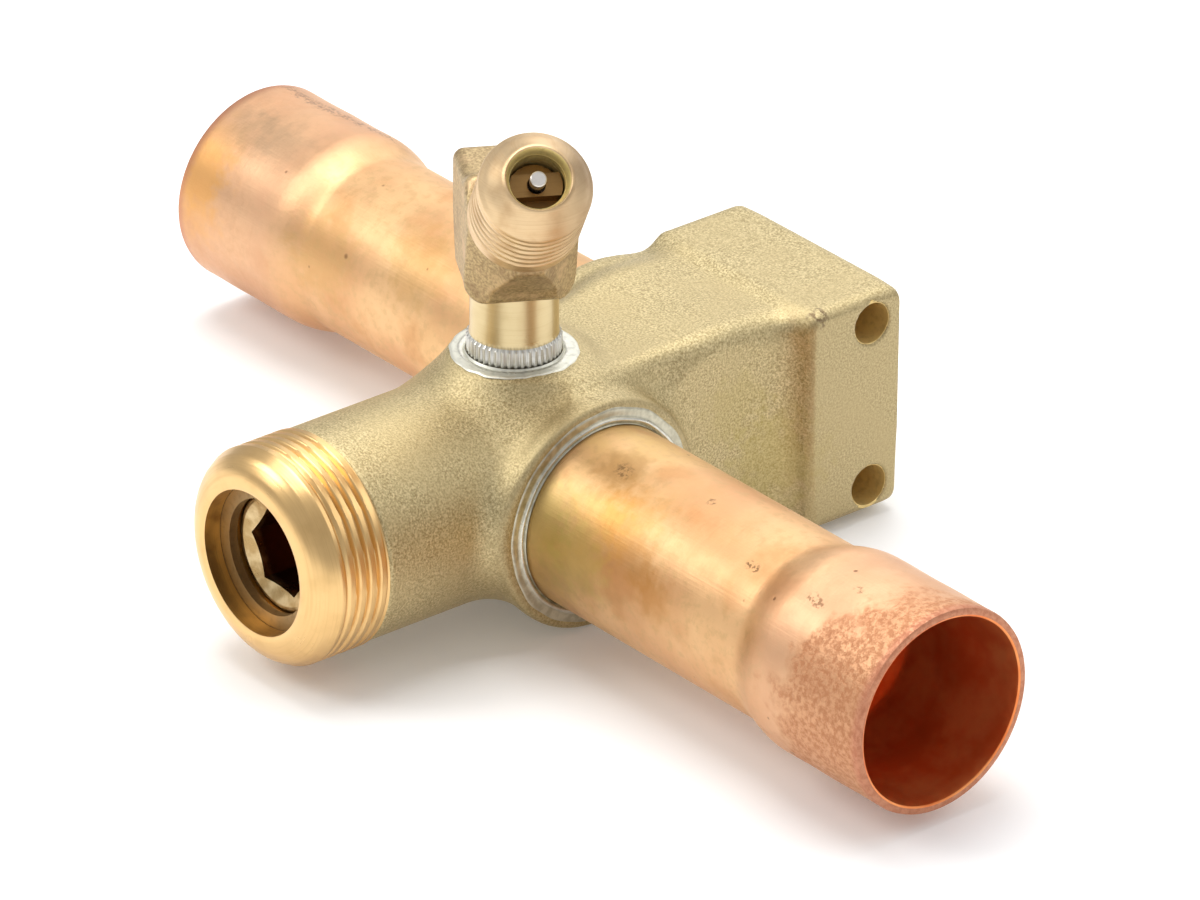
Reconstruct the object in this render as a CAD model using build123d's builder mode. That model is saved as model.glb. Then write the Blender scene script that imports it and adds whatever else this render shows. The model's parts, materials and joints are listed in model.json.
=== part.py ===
from build123d import *
from math import cos, radians, sin, sqrt
import os

os.makedirs("parts", exist_ok=True)

# Refrigerant service valve, in millimetres. The origin is the centre of the two fixing holes
# on the +X face of the mounting block. X runs along the two tubes, the stem points to -Y,
# and the access port stands up along +Z.

# Mounting block and its two fixing holes
block_width = 24.5
block_depth = 11.5
block_corner = 2.4
hole_radius = 2.2
hole_spacing = 18.0
hole_edge = 0.85
block_height = hole_spacing + 2 * (hole_radius + hole_edge)
hole_to_back = 4.0

# Where the three lines of the forging run
stem_setback = block_width / 2
block_to_line = 34.7
tube_stagger = 18.94
tube_drop = 0.65

# Stem neck: cap thread, rounded nose and bore
neck_radius = 10.95
neck_length = 25.0
cap_thread_radius = 11.11
cap_thread_length = 5.8
nose_radius = 10.8
nose_length = 2.5
nose_bulge = 0.35
nose_rim = 0.25
mouth_radius = 7.38
mouth_depth = 3.05
mouth_ease = 0.01
ring_groove_depth = 0.5
ring_groove_width = 1.1
bore_radius = 6.2
stem_thread_radius = 5.3
stem_thread_start = 10.2
stem_thread_length = 5.0
seat_depth = 5.5
seat_radius = 4.6

# Tube bosses
boss_proud = 0.15
boss_length = stem_setback + boss_proud
boss_radius = 12.0
boss_root_radius = 10.5
boss_rim_length = 1.5
socket_depth = 6.9
line_port_radius = 5.0
unit_port_radius = 8.0
unit_port_end = 3.2

# Bridge between the valve chamber and the mounting block
bridge_half_width = 6.0
bridge_half_height = 11.0
bridge_heel = 7.4
bridge_heel_inset = 1.2
chamber_top_drop = 1.5
shoulder_length = 3.4
shoulder_half_width = 9.6
shoulder_inset = 0.3
shoulder_small_corner = 1.0
shoulder_large_corner = 1.4

# Copper tubes, each with a belled end that takes the next tube
tube_radius = 9.525
tube_wall = 0.97
joint_gap = 0.075
line_tube_reach = 62.75
unit_tube_reach = 65.47
bell_length = 18.2
bell_taper = 3.4
bell_wall = 0.98
braze_width = 1.875
braze_leg = 0.85
braze_toe = 0.5

# Access port: pad, spigot, elbow and flare nipple
port_offset = 0.8
pad_height = 12.65
pad_radius = 6.9
pad_root_radius = 9.4
pad_root_drop = 4.0
pad_rim_length = 1.2
pad_rim_step = 0.5
spigot_radius = 4.36
spigot_depth = 5.0
knurl_radius = 4.7
knurl_height = 2.2
spigot_gap = 0.05
port_braze_radius = 6.1
port_braze_height = 0.3
port_braze_toe = 0.15
elbow_bottom = 20.45
elbow_top = 32.45
elbow_centre = 24.05
elbow_half_width = 5.3
elbow_back = 5.75
elbow_face = 8.5
elbow_corner = 1.3
elbow_turn = 45.0
elbow_heading = 30.0
flare_radius = 5.56
flare_neck_radius = 5.2
flare_thread_length = 8.2
flare_reach = 20.0
flare_nose = 2.8
flare_lip_radius = 3.25
flare_chamfer = 0.7
flare_lip_width = 0.2
flare_edge_length = 0.9
flare_edge_drop = 0.45
gas_way_radius = 1.5

# Valve core inside the nipple; depths count down from the nipple's mouth
core_bore_radius = 2.65
core_lower_radius = 2.15
core_floor_depth = 14.0
core_seat_depth = 7.4
core_seat_taper = 0.5
plug_bottom_depth = 5.4
plug_top_depth = 2.1
plug_gap = 0.1
bridge_bar = 2.3
bridge_bar_height = 1.5
barrel_bottom_depth = 10.6
barrel_wall = 0.35
barrel_floor = 0.6
gasket_seat_gap = 0.25
gasket_taper = 0.35
gasket_foot = 0.05
pin_tip_depth = 0.2
pin_tip_radius = 0.8
pin_tip_height = 1.0
pin_tip_edge = 0.1
pin_neck_taper = 0.3
pin_radius = 0.55
pin_gap = 0.1
pin_foot_width = 0.5
pin_foot_height = 0.25
collar_drop = 0.3
collar_height = 0.5
cup_height = 1.1
cup_gap = 0.02
cup_top_inset = 0.4
cup_foot_inset = 0.2
spring_wire = 0.17
spring_turns = 5
spring_end_gap = 0.02

# Stem, its seal and the ring that keeps it in
stem_recess = 0.25
stem_gap = 0.1
stem_head_length = 7.5
stem_tip = 5.0
stem_cone_length = 2.5
stem_tip_radius = 3.4
hex_across_flats = 7.94
hex_depth = 4.5
hex_chamfer = 0.7
hex_land = 0.3
hex_chamfer_inset = 0.9
hex_turn = -4.0
stem_edge = 0.35
seal_section = 0.62
seal_gap = 0.03
seal_groove_radius = 4.9
seal_groove_width = 1.9
seal_to_head_end = 1.4
ring_thickness = 1.0
ring_inner_radius = 5.95
ring_opening = 36.0
ring_gap = 0.1
ring_end_gap = 0.05

# How far a cutting shape runs past the face that it opens
overcut = 1.0

# Axes and planes of the valve
line_y = -block_to_line
unit_y = line_y + tube_stagger
stem_root = Vector(-stem_setback, line_y, 0)
line_root = Vector(-stem_setback, line_y, -tube_drop)
unit_root = Vector(-stem_setback, unit_y, -tube_drop)
port_root = Vector(-stem_setback, line_y - port_offset, 0)
elbow_root = port_root + Vector(0, 0, elbow_centre)

heading = Vector(cos(radians(elbow_heading)), -sin(radians(elbow_heading)), 0)
across = Vector(sin(radians(elbow_heading)), cos(radians(elbow_heading)), 0)
nipple_way = heading * sin(radians(elbow_turn)) + Vector(0, 0, cos(radians(elbow_turn)))

# Section planes: local X runs out along the turning axis and local Y is the radius
stem_section = Plane(origin=stem_root, x_dir=(0, -1, 0), z_dir=(-1, 0, 0))
line_section = Plane(origin=line_root, x_dir=(1, 0, 0), z_dir=(0, -1, 0))
unit_section = Plane(origin=unit_root, x_dir=(-1, 0, 0), z_dir=(0, 1, 0))
port_section = Plane(origin=port_root, x_dir=(0, 0, 1), z_dir=(0, 1, 0))
nipple_section = Plane(origin=elbow_root, x_dir=nipple_way, z_dir=across)
elbow_side = Plane(origin=port_root, x_dir=heading, z_dir=-across)

stem_axis = Axis(stem_root, (0, -1, 0))
line_axis = Axis(line_root, (1, 0, 0))
unit_axis = Axis(unit_root, (-1, 0, 0))
port_axis = Axis(port_root, (0, 0, 1))
nipple_axis = Axis(elbow_root, nipple_way)

# Distances along the stem line, out from the line tube's axis
thread_end = neck_length + cap_thread_length
mouth_end = thread_end + nose_length
mouth_floor = mouth_end - mouth_depth
stem_end = mouth_floor - stem_recess
head_start = stem_end - stem_head_length
socket_floor = boss_length - socket_depth
socket_radius = tube_radius + joint_gap
braze_radius = tube_radius + braze_width

# Heights of the valve core, out from the elbow's centre along the nipple
core_bore_floor = flare_reach - core_floor_depth
core_seat = flare_reach - core_seat_depth
plug_bottom = flare_reach - plug_bottom_depth
plug_top = flare_reach - plug_top_depth
barrel_bottom = flare_reach - barrel_bottom_depth
pin_tip = flare_reach - pin_tip_depth

# Edges of the mounting block along Y
block_back = hole_to_back
block_front = hole_to_back - block_depth
shoulder_start = block_front - shoulder_length


# ---- valve body: one forging ----
with BuildPart() as valve_body:
    # stem neck with the cap thread's crest and the rounded nose
    with BuildSketch(stem_section):
        with BuildLine():
            Polyline((thread_end, cap_thread_radius), (neck_length, cap_thread_radius),
                     (neck_length, neck_radius), (0, neck_radius), (0, 0), (mouth_end, 0),
                     (mouth_end, mouth_radius + nose_rim))
            SagittaArc((mouth_end, mouth_radius + nose_rim), (thread_end, nose_radius), -nose_bulge)
            Line((thread_end, nose_radius), (thread_end, cap_thread_radius))
        make_face()
    revolve(axis=stem_axis)
    # boss for the line tube
    with BuildSketch(line_section):
        with BuildLine():
            Polyline((0, 0), (boss_length, 0), (boss_length, boss_radius),
                     (boss_length - boss_rim_length, boss_radius), (0, boss_root_radius), close=True)
        make_face()
    revolve(axis=line_axis)
    # rounded back of the valve chamber
    with BuildSketch(Plane(origin=stem_root - Vector(0, 0, bridge_half_height))):
        Circle(boss_root_radius)
    extrude(amount=2 * bridge_half_height - chamber_top_drop)
    # boss for the unit tube
    with BuildSketch(unit_section):
        with BuildLine():
            Polyline((-bridge_half_width, 0), (boss_length, 0), (boss_length, boss_radius),
                     (boss_length - boss_rim_length, boss_radius), (bridge_half_width, boss_root_radius),
                     (-bridge_half_width, boss_root_radius), close=True)
        make_face()
    revolve(axis=unit_axis)
    # bridge, narrower at its heel
    with BuildSketch(Plane(origin=stem_root, x_dir=(-1, 0, 0), z_dir=(0, 1, 0))):
        with BuildLine():
            Polyline((-bridge_half_width, bridge_half_height), (bridge_half_width, bridge_half_height),
                     (bridge_half_width, bridge_heel - bridge_half_height),
                     (bridge_half_width - bridge_heel_inset, -bridge_half_height),
                     (bridge_heel_inset - bridge_half_width, -bridge_half_height),
                     (-bridge_half_width, bridge_heel - bridge_half_height), close=True)
        make_face()
    extrude(amount=block_to_line + block_front)
    # pad under the access port
    with BuildSketch(port_section):
        with BuildLine():
            Polyline((0, 0), (pad_height, 0), (pad_height, pad_radius),
                     (pad_height - pad_rim_length, pad_radius + pad_rim_step),
                     (bridge_half_height - pad_root_drop, pad_root_radius),
                     (0, pad_root_radius), close=True)
        make_face()
    revolve(axis=port_axis)
    # mounting block
    with BuildSketch(Plane.XZ.offset(-block_back)):
        with Locations((-stem_setback, 0)):
            RectangleRounded(block_width, block_height, block_corner)
    extrude(amount=block_depth)
    # shoulders that widen the bridge into the block
    with BuildSketch(Plane.XZ.offset(-shoulder_start)):
        with Locations((-stem_setback, 0)):
            RectangleRounded(2 * (bridge_half_width - shoulder_inset), 2 * (bridge_half_height - shoulder_inset),
                             shoulder_small_corner)
    with BuildSketch(Plane.XZ.offset(-block_front)):
        with Locations((-stem_setback, 0)):
            RectangleRounded(2 * shoulder_half_width, block_height - 4 * shoulder_inset, shoulder_large_corner)
    loft()
    # stem bore, stem thread, chamber, seat and the way through to the unit side
    with BuildSketch(stem_section):
        with BuildLine():
            Polyline((mouth_end + overcut, 0), (mouth_end + overcut, mouth_radius + mouth_ease),
                     (mouth_floor + ring_groove_width, mouth_radius + mouth_ease),
                     (mouth_floor + ring_groove_width, mouth_radius + ring_groove_depth),
                     (mouth_floor, mouth_radius + ring_groove_depth), (mouth_floor, bore_radius),
                     (stem_thread_start, bore_radius), (stem_thread_start, stem_thread_radius),
                     (stem_thread_start - stem_thread_length, stem_thread_radius),
                     (stem_thread_start - stem_thread_length, bore_radius),
                     (-seat_depth, bore_radius), (-seat_depth, seat_radius),
                     (-tube_stagger, seat_radius), (-tube_stagger, 0), close=True)
        make_face()
    revolve(axis=stem_axis, mode=Mode.SUBTRACT)
    # line port and tube socket
    with BuildSketch(line_section):
        with BuildLine():
            Polyline((0, 0), (boss_length + overcut, 0), (boss_length + overcut, socket_radius),
                     (socket_floor, socket_radius), (socket_floor, line_port_radius),
                     (0, line_port_radius), close=True)
        make_face()
    revolve(axis=line_axis, mode=Mode.SUBTRACT)
    # unit port and tube socket
    with BuildSketch(unit_section):
        with BuildLine():
            Polyline((-unit_port_end, 0), (boss_length + overcut, 0), (boss_length + overcut, socket_radius),
                     (socket_floor, socket_radius), (socket_floor, unit_port_radius),
                     (-unit_port_end, unit_port_radius), close=True)
        make_face()
    revolve(axis=unit_axis, mode=Mode.SUBTRACT)
    # access port socket and its gas way into the chamber
    with BuildSketch(port_section):
        with BuildLine():
            Polyline((0, 0), (pad_height + overcut, 0), (pad_height + overcut, spigot_radius + spigot_gap),
                     (pad_height - spigot_depth, spigot_radius + spigot_gap),
                     (pad_height - spigot_depth, gas_way_radius), (0, gas_way_radius), close=True)
        make_face()
    revolve(axis=port_axis, mode=Mode.SUBTRACT)
    # the two fixing holes
    with BuildSketch(Plane.YZ.offset(overcut)):
        with GridLocations(0, hole_spacing, 1, 2):
            Circle(hole_radius)
    extrude(amount=-(block_width + 2 * overcut), mode=Mode.SUBTRACT)
valve_body.part.label = "valve_body"
export_step(valve_body.part, "parts/valve_body.step")


# ---- copper tubes with belled ends ----
def bell_outline(reach):
    """Draws half the section of a tube, from its socket floor to its belled end."""
    bell_start = reach - bell_length
    bell_full = bell_start + bell_taper
    bell_inner = tube_radius + joint_gap
    inner = tube_radius - tube_wall
    outer = bell_inner + bell_wall
    root = socket_floor + spigot_gap
    Spline((bell_start, tube_radius), (bell_full, outer), tangents=((1, 0), (1, 0)))
    Spline((bell_full, bell_inner), (bell_start, inner), tangents=((-1, 0), (-1, 0)))
    Polyline((bell_full, outer), (reach, outer), (reach, bell_inner), (bell_full, bell_inner))
    Polyline((bell_start, inner), (root, inner), (root, tube_radius), (bell_start, tube_radius))


with BuildPart() as line_tube:
    with BuildSketch(line_section):
        with BuildLine():
            bell_outline(line_tube_reach)
        make_face()
    revolve(axis=line_axis)
line_tube.part.label = "line_tube"
export_step(line_tube.part, "parts/line_tube.step")

with BuildPart() as unit_tube:
    with BuildSketch(unit_section):
        with BuildLine():
            bell_outline(unit_tube_reach)
        make_face()
    revolve(axis=unit_axis)
unit_tube.part.label = "unit_tube"
export_step(unit_tube.part, "parts/unit_tube.step")

# ---- braze fillets where the tubes and the access port enter the forging ----
with BuildPart() as line_tube_braze:
    with BuildSketch(line_section):
        with BuildLine():
            Polyline((boss_length, tube_radius + spigot_gap), (boss_length, braze_radius),
                     (boss_length + braze_leg / 3, braze_radius - braze_toe),
                     (boss_length + braze_leg, tube_radius + spigot_gap), close=True)
        make_face()
    revolve(axis=line_axis)
line_tube_braze.part.label = "line_tube_braze"
export_step(line_tube_braze.part, "parts/line_tube_braze.step")

with BuildPart() as unit_tube_braze:
    with BuildSketch(unit_section):
        with BuildLine():
            Polyline((boss_length, tube_radius + spigot_gap), (boss_length, braze_radius),
                     (boss_length + braze_leg / 3, braze_radius - braze_toe),
                     (boss_length + braze_leg, tube_radius + spigot_gap), close=True)
        make_face()
    revolve(axis=unit_axis)
unit_tube_braze.part.label = "unit_tube_braze"
export_step(unit_tube_braze.part, "parts/unit_tube_braze.step")

with BuildPart() as access_port_braze:
    with BuildSketch(port_section):
        with BuildLine():
            Polyline((pad_height, knurl_radius + spigot_gap), (pad_height, port_braze_radius),
                     (pad_height + port_braze_height / 2, port_braze_radius - port_braze_toe),
                     (pad_height + port_braze_height, knurl_radius + spigot_gap), close=True)
        make_face()
    revolve(axis=port_axis)
access_port_braze.part.label = "access_port_braze"
export_step(access_port_braze.part, "parts/access_port_braze.step")

# ---- access fitting: knurled spigot, forged elbow and flare nipple in one piece ----
face_low_x = elbow_face * sin(radians(elbow_turn)) + elbow_back * cos(radians(elbow_turn))
face_low_z = elbow_centre + elbow_face * cos(radians(elbow_turn)) - elbow_back * sin(radians(elbow_turn))
face_top_x = face_low_x - (elbow_top - face_low_z) / sin(radians(elbow_turn)) * cos(radians(elbow_turn))
throat_z = face_low_z - (face_low_x - elbow_back) * cos(radians(elbow_turn)) / sin(radians(elbow_turn))

with BuildPart() as access_fitting:
    with BuildSketch(elbow_side):
        with BuildLine():
            Polyline((-elbow_back, elbow_bottom), (elbow_back, elbow_bottom), (elbow_back, throat_z),
                     (face_low_x, face_low_z), (face_top_x, elbow_top), (-elbow_back, elbow_top),
                     close=True)
        make_face()
    extrude(amount=elbow_half_width, both=True)
    upright_edges = access_fitting.edges().filter_by(Axis.Z).sort_by(Axis(port_root, heading))
    fillet(upright_edges[:2], elbow_corner)
    fillet(upright_edges[-2:], elbow_corner / 2)
    with BuildSketch(port_section):
        with BuildLine():
            Polyline((pad_height - spigot_depth + spigot_gap, 0), (elbow_centre, 0),
                     (elbow_centre, spigot_radius),
                     (pad_height + knurl_height, spigot_radius),
                     (pad_height + knurl_height, knurl_radius), (pad_height, knurl_radius),
                     (pad_height, spigot_radius),
                     (pad_height - spigot_depth + spigot_gap, spigot_radius), close=True)
        make_face()
    revolve(axis=port_axis)
    with BuildSketch(nipple_section):
        with BuildLine():
            Polyline((elbow_half_width, 0), (flare_reach, 0), (flare_reach, flare_lip_radius + flare_lip_width),
                     (flare_reach - flare_nose + flare_edge_length, flare_radius - flare_edge_drop),
                     (flare_reach - flare_nose, flare_radius),
                     (flare_reach - flare_nose - flare_thread_length, flare_radius),
                     (flare_reach - flare_nose - flare_thread_length, flare_neck_radius),
                     (elbow_half_width, flare_neck_radius), close=True)
        make_face()
    revolve(axis=nipple_axis)
    with BuildSketch(nipple_section):
        with BuildLine():
            Polyline((0, 0), (flare_reach + overcut, 0), (flare_reach + overcut, flare_lip_radius),
                     (flare_reach, flare_lip_radius),
                     (flare_reach - flare_chamfer, core_bore_radius),
                     (core_seat + core_seat_taper, core_bore_radius), (core_seat, core_lower_radius),
                     (core_bore_floor, core_lower_radius), (core_bore_floor, gas_way_radius),
                     (0, gas_way_radius), close=True)
        make_face()
    revolve(axis=nipple_axis, mode=Mode.SUBTRACT)
    with BuildSketch(Plane(origin=port_root)):
        Circle(gas_way_radius)
    extrude(amount=elbow_centre + overcut / 2, mode=Mode.SUBTRACT)
access_fitting.part.label = "access_fitting"
export_step(access_fitting.part, "parts/access_fitting.step")

# ---- valve core ----
barrel_radius = core_lower_radius - pin_gap
barrel_inner = barrel_radius - barrel_wall
plug_radius = core_bore_radius - plug_gap
pin_hole = pin_radius + pin_gap

with BuildPart() as core_plug:
    with BuildSketch(Plane(nipple_section.origin, x_dir=across, z_dir=nipple_way).offset(plug_bottom)):
        Circle(plug_radius)
        Circle(pin_tip_radius + pin_gap, mode=Mode.SUBTRACT)
    extrude(amount=plug_top - plug_bottom - bridge_bar_height)
    with BuildSketch(Plane(nipple_section.origin, x_dir=across, z_dir=nipple_way)
                     .offset(plug_top - bridge_bar_height)):
        Circle(plug_radius)
        Rectangle(2 * plug_radius, bridge_bar, mode=Mode.INTERSECT)
        Circle(pin_tip_radius + pin_gap, mode=Mode.SUBTRACT)
    extrude(amount=bridge_bar_height)
core_plug.part.label = "core_plug"
export_step(core_plug.part, "parts/core_plug.step")

barrel_top = plug_bottom - spigot_gap
with BuildPart() as core_barrel:
    with BuildSketch(nipple_section):
        with BuildLine():
            Polyline((barrel_bottom, pin_hole), (barrel_bottom, barrel_radius),
                     (barrel_top, barrel_radius), (barrel_top, barrel_inner),
                     (barrel_bottom + barrel_floor, barrel_inner),
                     (barrel_bottom + barrel_floor, pin_hole), close=True)
        make_face()
    revolve(axis=nipple_axis)
core_barrel.part.label = "core_barrel"
export_step(core_barrel.part, "parts/core_barrel.step")

gasket_inner = barrel_radius + spigot_gap
gasket_low = core_seat + gasket_seat_gap
with BuildPart() as core_gasket:
    with BuildSketch(nipple_section):
        with BuildLine():
            Polyline((barrel_top, gasket_inner), (barrel_top, plug_radius),
                     (gasket_low + gasket_taper, plug_radius), (gasket_low, gasket_inner + gasket_foot),
                     (gasket_low, gasket_inner), close=True)
        make_face()
    revolve(axis=nipple_axis)
core_gasket.part.label = "core_gasket"
export_step(core_gasket.part, "parts/core_gasket.step")

collar_top = barrel_top - collar_drop
pin_foot_top = barrel_bottom - spigot_gap - cup_height
pin_foot_low = pin_foot_top - pin_foot_height
with BuildPart() as core_pin:
    with BuildSketch(nipple_section):
        with BuildLine():
            Polyline((pin_foot_low, 0), (pin_tip, 0),
                     (pin_tip, pin_tip_radius - pin_tip_edge), (pin_tip - pin_tip_edge, pin_tip_radius),
                     (pin_tip - pin_tip_height, pin_tip_radius),
                     (pin_tip - pin_tip_height - pin_neck_taper, pin_radius), (collar_top, pin_radius),
                     (collar_top, barrel_inner - pin_gap),
                     (collar_top - collar_height, barrel_inner - pin_gap),
                     (collar_top - collar_height, pin_radius),
                     (pin_foot_top, pin_radius), (pin_foot_top, pin_radius + pin_foot_width),
                     (pin_foot_low, pin_radius + pin_foot_width), close=True)
        make_face()
    revolve(axis=nipple_axis)
core_pin.part.label = "core_pin"
export_step(core_pin.part, "parts/core_pin.step")

with BuildPart() as core_cup:
    with BuildSketch(nipple_section):
        with BuildLine():
            Polyline((barrel_bottom - spigot_gap, pin_radius + cup_gap),
                     (barrel_bottom - spigot_gap, barrel_radius - cup_top_inset),
                     (barrel_bottom - cup_height, barrel_radius - cup_foot_inset),
                     (barrel_bottom - cup_height, pin_radius + cup_gap), close=True)
        make_face()
    revolve(axis=nipple_axis)
core_cup.part.label = "core_cup"
export_step(core_cup.part, "parts/core_cup.step")

spring_radius = (pin_radius + barrel_inner) / 2
spring_low = barrel_bottom + barrel_floor + spring_wire + spring_end_gap
spring_high = collar_top - collar_height - spring_wire - spring_end_gap
with BuildPart() as core_spring:
    with BuildLine():
        spring_path = Helix(pitch=(spring_high - spring_low) / spring_turns,
                            height=spring_high - spring_low, radius=spring_radius,
                            center=elbow_root + nipple_way * spring_low, direction=nipple_way)
    with BuildSketch(Plane(origin=spring_path @ 0, z_dir=spring_path % 0)):
        RegularPolygon(spring_wire, 6)
    sweep(path=spring_path, is_frenet=True)
core_spring.part.label = "core_spring"
export_step(core_spring.part, "parts/core_spring.step")

# ---- stem, seal and retaining ring ----
head_radius = bore_radius - stem_gap
shank_radius = stem_thread_radius - stem_gap
seal_centre = head_start + seal_to_head_end
hex_corner = hex_across_flats / sqrt(3)
socket_rim = head_radius - stem_edge - hex_land

with BuildPart() as valve_stem:
    with BuildSketch(stem_section):
        with BuildLine():
            Polyline((stem_tip, 0), (stem_end, 0), (stem_end, head_radius - stem_edge),
                     (stem_end - stem_edge, head_radius),
                     (seal_centre + seal_groove_width / 2, head_radius),
                     (seal_centre + seal_groove_width / 2, seal_groove_radius),
                     (seal_centre - seal_groove_width / 2, seal_groove_radius),
                     (seal_centre - seal_groove_width / 2, head_radius), (head_start, head_radius),
                     (head_start, shank_radius), (stem_tip + stem_cone_length, shank_radius),
                     (stem_tip, stem_tip_radius), close=True)
        make_face()
    revolve(axis=stem_axis)
    with BuildSketch(stem_section):
        with BuildLine():
            Polyline((stem_end + overcut, 0), (stem_end + overcut, socket_rim), (stem_end, socket_rim),
                     (stem_end - hex_chamfer, hex_corner - hex_chamfer_inset),
                     (stem_end - hex_chamfer, 0), close=True)
        make_face()
    revolve(axis=stem_axis, mode=Mode.SUBTRACT)
    with BuildSketch(Plane(stem_root, x_dir=(1, 0, 0), z_dir=(0, -1, 0)).offset(stem_end + overcut)):
        RegularPolygon(hex_corner, 6, rotation=hex_turn)
    extrude(amount=-(hex_depth + overcut), mode=Mode.SUBTRACT)
valve_stem.part.label = "valve_stem"
export_step(valve_stem.part, "parts/valve_stem.step")

with BuildPart() as stem_o_ring:
    with BuildSketch(stem_section):
        with Locations((seal_centre, seal_groove_radius + seal_section + seal_gap)):
            RegularPolygon(seal_section, 12)
    revolve(axis=stem_axis)
stem_o_ring.part.label = "stem_o_ring"
export_step(stem_o_ring.part, "parts/stem_o_ring.step")

ring_start = mouth_floor + ring_end_gap
with BuildPart() as retaining_ring:
    with BuildSketch(stem_section):
        with BuildLine():
            Polyline((ring_start, ring_inner_radius),
                     (ring_start, mouth_radius + ring_groove_depth - ring_gap),
                     (ring_start + ring_thickness, mouth_radius + ring_groove_depth - ring_gap),
                     (ring_start + ring_thickness, ring_inner_radius), close=True)
        make_face()
    revolve(axis=stem_axis, revolution_arc=360 - ring_opening)
retaining_ring.part.label = "retaining_ring"
export_step(retaining_ring.part, "parts/retaining_ring.step")
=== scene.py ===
import json
from math import cos, pi, radians, sin, sqrt

import bpy
import numpy as np
from mathutils import Matrix, Vector


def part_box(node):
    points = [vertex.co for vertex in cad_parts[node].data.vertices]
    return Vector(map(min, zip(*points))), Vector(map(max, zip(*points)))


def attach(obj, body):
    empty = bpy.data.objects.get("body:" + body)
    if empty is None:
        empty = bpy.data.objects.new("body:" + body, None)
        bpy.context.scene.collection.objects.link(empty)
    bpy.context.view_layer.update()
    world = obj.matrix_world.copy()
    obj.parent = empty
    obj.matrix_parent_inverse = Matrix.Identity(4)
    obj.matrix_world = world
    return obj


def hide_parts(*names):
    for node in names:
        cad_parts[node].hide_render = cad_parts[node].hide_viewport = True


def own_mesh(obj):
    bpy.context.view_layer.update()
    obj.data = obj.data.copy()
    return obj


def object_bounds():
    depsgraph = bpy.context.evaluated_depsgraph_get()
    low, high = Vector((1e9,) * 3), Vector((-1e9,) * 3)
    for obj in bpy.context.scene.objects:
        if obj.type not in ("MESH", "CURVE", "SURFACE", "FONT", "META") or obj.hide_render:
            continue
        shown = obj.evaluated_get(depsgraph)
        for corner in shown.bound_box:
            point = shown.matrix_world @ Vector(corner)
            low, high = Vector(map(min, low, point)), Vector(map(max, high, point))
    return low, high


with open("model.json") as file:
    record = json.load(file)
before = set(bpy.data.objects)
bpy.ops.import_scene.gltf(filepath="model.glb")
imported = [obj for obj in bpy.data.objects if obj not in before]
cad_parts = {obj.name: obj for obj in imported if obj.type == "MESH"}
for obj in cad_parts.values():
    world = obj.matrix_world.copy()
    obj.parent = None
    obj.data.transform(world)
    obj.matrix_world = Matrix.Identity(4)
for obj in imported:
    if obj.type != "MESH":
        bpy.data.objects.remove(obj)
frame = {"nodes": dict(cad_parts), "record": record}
cad_low, cad_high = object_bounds()

MM = 0.001
mounts = {m["name"]: m for m in frame["record"]["mounts"]}


def place(name):
    """A mount's position in millimetres."""
    return Vector(mounts[name]["pos_m"]) / MM


def size(name, key):
    """A stated size of a mount."""
    return mounts[name]["dims"][key]


# ---- sizes of the valve in millimetres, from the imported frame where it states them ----
block_low, block_high = [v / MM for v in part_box("valve_body")]
stem_x = place("cap_thread").x
line_axis = place("line_socket")
unit_axis = place("unit_socket")
line_y, unit_y = line_axis.y, unit_axis.y
tube_z = line_axis.z
block_width = -2 * stem_x
block_back = block_high.y
block_depth = 11.5
block_height = 24.1
hole_radius = size("mounting_holes", "hole_r_mm")
hole_spacing = size("mounting_holes", "spacing_y_mm")
neck_radius = 10.95
neck_length = 25.0
cap_crest = size("cap_thread", "r_mm")
mouth_end = line_y - block_low.y
boss_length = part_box("line_tube_braze")[0].x / MM - stem_x
boss_radius = 12.0
bridge_half_width = 8.0
bridge_half_height = 11.5
bore_radius = 6.25
tube_radius = 9.525
tube_inner = 8.555
bell_length = 18.2
bell_outer = 10.58
bell_inner = 9.6
pad_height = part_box("access_port_braze")[0].z / MM
port_y = line_y - 0.8
elbow_bottom = 20.45
elbow_top = 32.45
elbow_centre = 24.05
elbow_half = 5.3
elbow_half_depth = 5.75
elbow_corner = 1.1
flare_crest = size("access_flare", "r_mm")
thread_pitch = 1.27

stem_root = Vector((stem_x, line_y, 0))
line_root = Vector((stem_x, line_y, tube_z))
unit_root = Vector((stem_x, unit_y, tube_z))
port_root = Vector((stem_x, port_y, 0))
elbow_root = port_root + Vector((0, 0, elbow_centre))
nipple_way = Vector(mounts["access_flare"]["axis"]).normalized()
heading = Vector((nipple_way.x, nipple_way.y, 0)).normalized()
UP = Vector((0, 0, 1))


# ---- meshes ----
def skin(name, verts, faces, root, material):
    """Makes a smooth piece from points in millimetres that count from root."""
    mesh = bpy.data.meshes.new(name)
    mesh.from_pydata(((verts + np.array(root)) * MM).tolist(), [], faces)
    mesh.materials.append(material)
    mesh.polygons.foreach_set("use_smooth", [True] * len(mesh.polygons))
    mesh.update()
    obj = bpy.data.objects.new(name, mesh)
    bpy.context.scene.collection.objects.link(obj)
    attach(obj, "valve")
    return obj


def resample(points, step):
    """Adds points along a profile so that no two lie further apart than step."""
    out = [points[0]]
    for a, b in zip(points, points[1:]):
        n = max(1, int(np.ceil(np.hypot(b[0] - a[0], b[1] - a[1]) / step)))
        out += [(a[0] + (b[0] - a[0]) * i / n, a[1] + (b[1] - a[1]) * i / n) for i in range(1, n + 1)]
    return np.array(out)


def turned_axes(along):
    """The axis and two directions across it, from which angles are counted."""
    along = Vector(along).normalized()
    side = UP if abs(along.z) < 0.9 else Vector((0, -1, 0))
    side = (side - along * side.dot(along)).normalized()
    return along, side, along.cross(side)


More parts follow.
